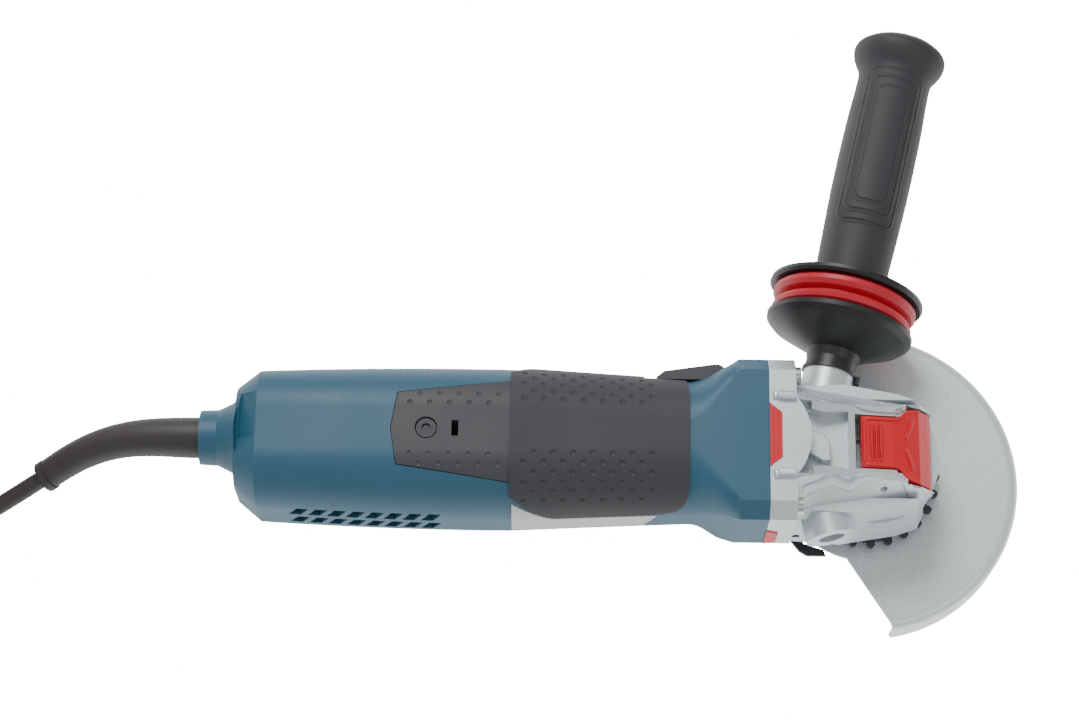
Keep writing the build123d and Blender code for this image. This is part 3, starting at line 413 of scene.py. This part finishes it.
# Dents in a skin: each point looks along its own aim, and a ball is cut out of the skin where it lands
def makeDentTree():
    tree = bpy.data.node_groups.new("dentField", "GeometryNodeTree")
    face = tree.interface
    face.new_socket("Geometry", in_out="INPUT", socket_type="NodeSocketGeometry")
    target = face.new_socket("Target", in_out="INPUT", socket_type="NodeSocketObject")
    radius = face.new_socket("Radius", in_out="INPUT", socket_type="NodeSocketFloat")
    depth = face.new_socket("Depth", in_out="INPUT", socket_type="NodeSocketFloat")
    finish = face.new_socket("Material", in_out="INPUT", socket_type="NodeSocketMaterial")
    face.new_socket("Geometry", in_out="OUTPUT", socket_type="NodeSocketGeometry")
    link = tree.links.new
    given = addNode(tree, "NodeGroupInput")
    made = addNode(tree, "NodeGroupOutput")
    info = addNode(tree, "GeometryNodeObjectInfo")
    aim = addNode(tree, "GeometryNodeInputNamedAttribute", data_type="FLOAT_VECTOR")
    aim.inputs["Name"].default_value = "aim"
    cast = addNode(tree, "GeometryNodeRaycast", data_type="FLOAT")
    cast.inputs["Ray Length"].default_value = 0.05
    missed = addNode(tree, "FunctionNodeBooleanMath", operation="NOT")
    drop = addNode(tree, "GeometryNodeDeleteGeometry", domain="POINT")
    move = addNode(tree, "GeometryNodeSetPosition")
    lift = addNode(tree, "ShaderNodeMath", operation="SUBTRACT")
    out = addNode(tree, "ShaderNodeVectorMath", operation="SCALE")
    ball = addNode(tree, "GeometryNodeMeshIcoSphere")
    ball.inputs["Subdivisions"].default_value = 4
    copies = addNode(tree, "GeometryNodeInstanceOnPoints")
    real = addNode(tree, "GeometryNodeRealizeInstances")
    weld = addNode(tree, "GeometryNodeMergeByDistance")
    weld.inputs["Distance"].default_value = 1e-6
    cut = addNode(tree, "GeometryNodeMeshBoolean", operation="DIFFERENCE", solver="EXACT")
    solid = addNode(tree, "GeometryNodeRealizeInstances")
    paint = addNode(tree, "GeometryNodeSetMaterial")
    link(given.outputs["Target"], info.inputs["Object"])
    link(info.outputs["Geometry"], cast.inputs["Target Geometry"])
    link(info.outputs["Geometry"], weld.inputs["Geometry"])
    link(aim.outputs["Attribute"], cast.inputs["Ray Direction"])
    link(cast.outputs["Is Hit"], missed.inputs[0])
    link(given.outputs["Geometry"], drop.inputs["Geometry"])
    link(missed.outputs[0], drop.inputs["Selection"])
    link(drop.outputs["Geometry"], move.inputs["Geometry"])
    link(cast.outputs["Hit Position"], move.inputs["Position"])
    link(given.outputs["Radius"], lift.inputs[0])
    link(given.outputs["Depth"], lift.inputs[1])
    link(cast.outputs["Hit Normal"], out.inputs[0])
    link(lift.outputs[0], out.inputs["Scale"])
    link(out.outputs["Vector"], move.inputs["Offset"])
    link(given.outputs["Radius"], ball.inputs["Radius"])
    link(move.outputs["Geometry"], copies.inputs["Points"])
    link(ball.outputs["Mesh"], copies.inputs["Instance"])
    link(copies.outputs["Instances"], real.inputs["Geometry"])
    link(weld.outputs["Geometry"], cut.inputs["Mesh 1"])
    link(real.outputs["Geometry"], cut.inputs["Mesh 2"])
    link(cut.outputs["Mesh"], solid.inputs["Geometry"])
    link(solid.outputs["Geometry"], paint.inputs["Geometry"])
    link(given.outputs["Material"], paint.inputs["Material"])
    link(paint.outputs["Geometry"], made.inputs["Geometry"])
    return tree, dict(target=target.identifier, radius=radius.identifier, depth=depth.identifier,
                      finish=finish.identifier)


dentTree, dentInput = makeDentTree()
dentSettings = [
    dict(name="dentedGrip", node="soft_grip", finish="grey_rubber", radius=2.2, depth=0.6, start=-157.5, pitch=8.7,
         count=7, rows=(24, 30, 37, 43, 49, -18, -25, -32, -39, -45, -52)),
    dict(name="dentedCover", node="service_cover", finish="grey_plastic", radius=2.0, depth=0.45, start=-208.0,
         pitch=8.7, count=5, rows=(20, 27, -20, -27)),
]


# Faces that still lie on the first surface keep its normals, so that small cuts leave no creases round them
normalSettings = dict(inward=0.02, reach=0.03, likeness=0.96)


def keepNormals(mesh, source, limit):
    c = normalSettings
    for part in mesh.polygons:
        part.use_smooth = True
    mesh.set_sharp_from_angle(angle=radians(limit))
    tree = BVHTree.FromPolygons([v.co for v in source.vertices], [tuple(p.vertices) for p in source.polygons])
    normals = []
    for part in mesh.polygons:
        for vertex in part.vertices:
            spot = mesh.vertices[vertex].co.lerp(part.center, c["inward"])
            hit, facing, face, far = tree.find_nearest(spot)
            normal = Vector((0, 0, 0))
            if far < c["reach"] * mm and facing.dot(part.normal) > c["likeness"]:
                first = source.polygons[face]
                shares = poly_3d_calc([source.vertices[v].co for v in first.vertices], hit)
                for share, corner in zip(shares, first.loop_indices):
                    normal += source.corner_normals[corner].vector * share
            normals.append(normal)
    mesh.normals_split_custom_set(normals)


def makeDents(c):
    points, aims = [], []
    for row, turn in enumerate(c["rows"]):
        away = Vector((0, sin(radians(turn)), cos(radians(turn))))
        for i in range(c["count"]):
            x = c["start"] + (i + row % 2 * 0.5) * c["pitch"]
            points.append(inTool(x, away.y * castHeight, away.z * castHeight))
            aims.append(tool.to_3x3() @ -away)
    mesh = bpy.data.meshes.new(c["name"])
    mesh.from_pydata(points, [], [])
    aim = mesh.attributes.new("aim", "FLOAT_VECTOR", "POINT")
    for entry, direction in zip(aim.data, aims):
        entry.vector = direction
    piece = newObject(c["name"], mesh)
    change = piece.modifiers.new("dents", "NODES")
    change.node_group = dentTree
    change[dentInput["target"]] = nodes[c["node"]]
    change[dentInput["radius"]] = c["radius"] * mm
    change[dentInput["depth"]] = c["depth"] * mm
    change[dentInput["finish"]] = materials[c["finish"]]
    piece.data = takeMesh(piece)
    keepNormals(piece.data, nodes[c["node"]].data, 28)
    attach(piece, "body")
    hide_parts(c["node"])
    print(c["name"], "faces:", len(piece.data.polygons))


for settings in dentSettings:
    makeDents(settings)


# The flange's key is cast with it
keySettings = dict(bevel=0.5, steps=2, sharp=0.5)


def makeKey(c):
    mesh = nodes["flange_key"].data.copy()
    shape = bmesh.new()
    shape.from_mesh(mesh)
    bmesh.ops.remove_doubles(shape, verts=shape.verts, dist=1e-6)
    edges = [e for e in shape.edges if e.calc_face_angle(0) > c["sharp"]]
    bmesh.ops.bevel(shape, geom=edges, offset=c["bevel"] * mm, segments=c["steps"], affect="EDGES")
    shape.to_mesh(mesh)
    shape.free()
    mesh.materials.clear()
    mesh.materials.append(materials["silver_casting"])
    key = newObject("castKey", mesh)
    keepNormals(mesh, nodes["flange_key"].data, 40)
    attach(key, "body")
    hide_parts("flange_key")


makeKey(keySettings)
print("dents and key made")


# Raised ridges that follow a surface: the path is given from above and each section is cast down on the piece
def surfaceOf(node):
    shape = bmesh.new()
    shape.from_mesh(nodes[node].data)
    tree = BVHTree.FromBMesh(shape)
    shape.free()
    return tree


def smoothPath(spots, steps):
    path = []
    for i in range(len(spots) - 1):
        a, b, c, d = (Vector(spots[min(max(k, 0), len(spots) - 1)]) for k in (i - 1, i, i + 1, i + 2))
        for j in range(steps):
            t = j / steps
            path.append(0.5 * (2 * b + (c - a) * t + (2 * a - 5 * b + 4 * c - d) * t * t
                               + (3 * b - a - 3 * c + d) * t ** 3))
    path.append(Vector(spots[-1]))
    return path


sectionSettings = dict(pathSteps=8, across=8, fadeSteps=3, sunk=0.25, base=0.9)


def makeRidge(c):
    surface = surfaceOf(c["node"])
    down = tool.to_3x3() @ Vector((0, 0, -1))
    across = sectionSettings["across"]
    fadeSteps = sectionSettings["fadeSteps"]
    points, faces = [], []
    for sign in c.get("sides", (1, -1)):
        path = smoothPath([(x, y * sign) for x, y in c["path"]], sectionSettings["pathSteps"])
        first = len(points)
        for i, spot in enumerate(path):
            ahead = (path[min(i + 1, len(path) - 1)] - path[max(i - 1, 0)]).normalized()
            side = Vector((-ahead.y, ahead.x))
            fade = min(1.0, (i + 0.2) / fadeSteps, (len(path) - 0.8 - i) / fadeSteps)
            middle = surface.ray_cast(inTool(spot.x, spot.y, castHeight), down)[0]
            for j in range(across + 1):
                w = j / across * 2 - 1
                place = spot + side * (w * c["width"] / 2)
                hit = surface.ray_cast(inTool(place.x, place.y, castHeight), down)[0]
                if hit is None or (hit - middle).length > c["width"]:
                    hit = middle + tool.to_3x3() @ Vector((place.x - spot.x, place.y - spot.y, 0)) * mm
                rise = c["height"] * fade * (1 - w ** 4) ** 0.6 - sectionSettings["sunk"]
                points.append(hit - down * rise * mm)
            for j in (across, 0):
                points.append(points[first + i * (across + 3) + j] + down * sectionSettings["base"] * mm)
        row = across + 3
        for i in range(len(path) - 1):
            for j in range(row):
                k = (j + 1) % row
                a = first + i * row
                faces.append((a + j, a + k, a + row + k, a + row + j))
        faces.append(tuple(first + j for j in range(row)))
        faces.append(tuple(first + (len(path) - 1) * row + j for j in range(row)))
    ridge = meshPiece(c["name"], points, faces)
    ridge.data.set_sharp_from_angle(angle=radians(50))
    ridge.data.materials.append(materials[c["finish"]])
    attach(ridge, c["body"])
    print(c["name"], "points:", len(points))


ridgeSettings = [
    dict(name="headRidges", node="gear_head", body="body", finish="silver_casting", width=3.6, height=1.6,
         path=[(-34.5, 23.6), (-28, 21.0), (-21.5, 18.4), (-16.5, 19.4), (-12.5, 19.8), (-8.0, 16.4), (-3, 15.4),
               (5, 15.2), (9.0, 15.9), (12.5, 18.2), (15.5, 20.6), (20.5, 20.4)]),
    dict(name="flangeRibs", node="gear_flange", body="body", finish="silver_casting", width=4.8, height=1.5,
         path=[(-47.8, 18.4), (-44, 18.2), (-40, 18.0), (-37.4, 18.2)]),
    dict(name="leverBorder", node="release_lever", body="release_lever", finish="red_plastic", width=1.5, height=0.9,
         path=[(-6.4, 10.6), (-1, 10.7), (5.5, 10.8), (9.6, 11.6), (13.2, 15.2), (17.5, 16.4), (20.5, 16.6)]),
    dict(name="leverFoot", node="release_lever", body="release_lever", finish="red_plastic", width=1.5, height=0.8,
         path=[(-6.4, -10.4), (-6.5, -5), (-6.5, 5), (-6.4, 10.4)], sides=(1,)),
    dict(name="leverWedges", node="release_lever", body="release_lever", finish="red_plastic", width=2.2, height=1.0,
         path=[(12.4, 2.0), (13.6, 5.0), (15.0, 8.5), (16.0, 12.0)]),
]
for name, x in (("leverRibA", -3.2), ("leverRibB", -1.2), ("leverRibC", 0.8)):
    ridgeSettings.append(dict(name=name, node="release_lever", body="release_lever", finish="red_plastic", width=1.1,
                              height=1.5, path=[(x, -8.0), (x, 0), (x, 8.0)], sides=(1,)))
for settings in ridgeSettings:
    makeRidge(settings)
print("ridges made")

# Floor and light
stageSettings = dict(reach=3.0, drop=0.0004, glow=1.0, white=16.0, world=0.45)


def makeStage(c):
    r = c["reach"]
    corners = [(x, y, -c["drop"]) for x, y in ((-r, -r), (r, -r), (r, r), (-r, r))]
    floor = meshPiece("floor", corners, [(0, 1, 2, 3)])
    material = bpy.data.materials.new("paleFloor")
    material.use_nodes = True
    shader = material.node_tree.nodes["Principled BSDF"]
    shader.inputs["Base Color"].default_value = (0.95, 0.95, 0.95, 1)
    shader.inputs["Roughness"].default_value = 0.9
    shader.inputs["Emission Color"].default_value = (1, 1, 1, 1)
    tree = material.node_tree
    ray = addNode(tree, "ShaderNodeLightPath")
    glow = addNode(tree, "ShaderNodeMix", data_type="FLOAT")
    glow.inputs["A"].default_value = c["glow"]
    glow.inputs["B"].default_value = c["white"]   # the floor as the camera sees it
    tree.links.new(ray.outputs["Is Camera Ray"], glow.inputs["Factor"])
    tree.links.new(glow.outputs["Result"], shader.inputs["Emission Strength"])
    floor.data.materials.append(material)
    world = bpy.data.worlds.new("studio")
    scene.world = world
    world.use_nodes = True
    world.node_tree.nodes["Background"].inputs["Color"].default_value = (1, 1, 1, 1)
    world.node_tree.nodes["Background"].inputs["Strength"].default_value = c["world"]


lampSettings = [dict(name="keyLight", place=(-0.5, 0.9, 1.5), size=0.8, power=24),
                dict(name="fillLight", place=(0.7, -0.8, 1.3), size=1.2, power=5)]


def makeLamps(lamps):
    for lamp in lamps:
        data = bpy.data.lights.new(lamp["name"], "AREA")
        data.size = lamp["size"]
        data.energy = lamp["power"]
        light = newObject(lamp["name"], data)
        light.location = lamp["place"]
        light.rotation_mode = "QUATERNION"
        light.rotation_quaternion = Vector(lamp["place"]).to_track_quat("Z", "Y")


makeStage(stageSettings)
makeLamps(lampSettings)
print("stage lit")
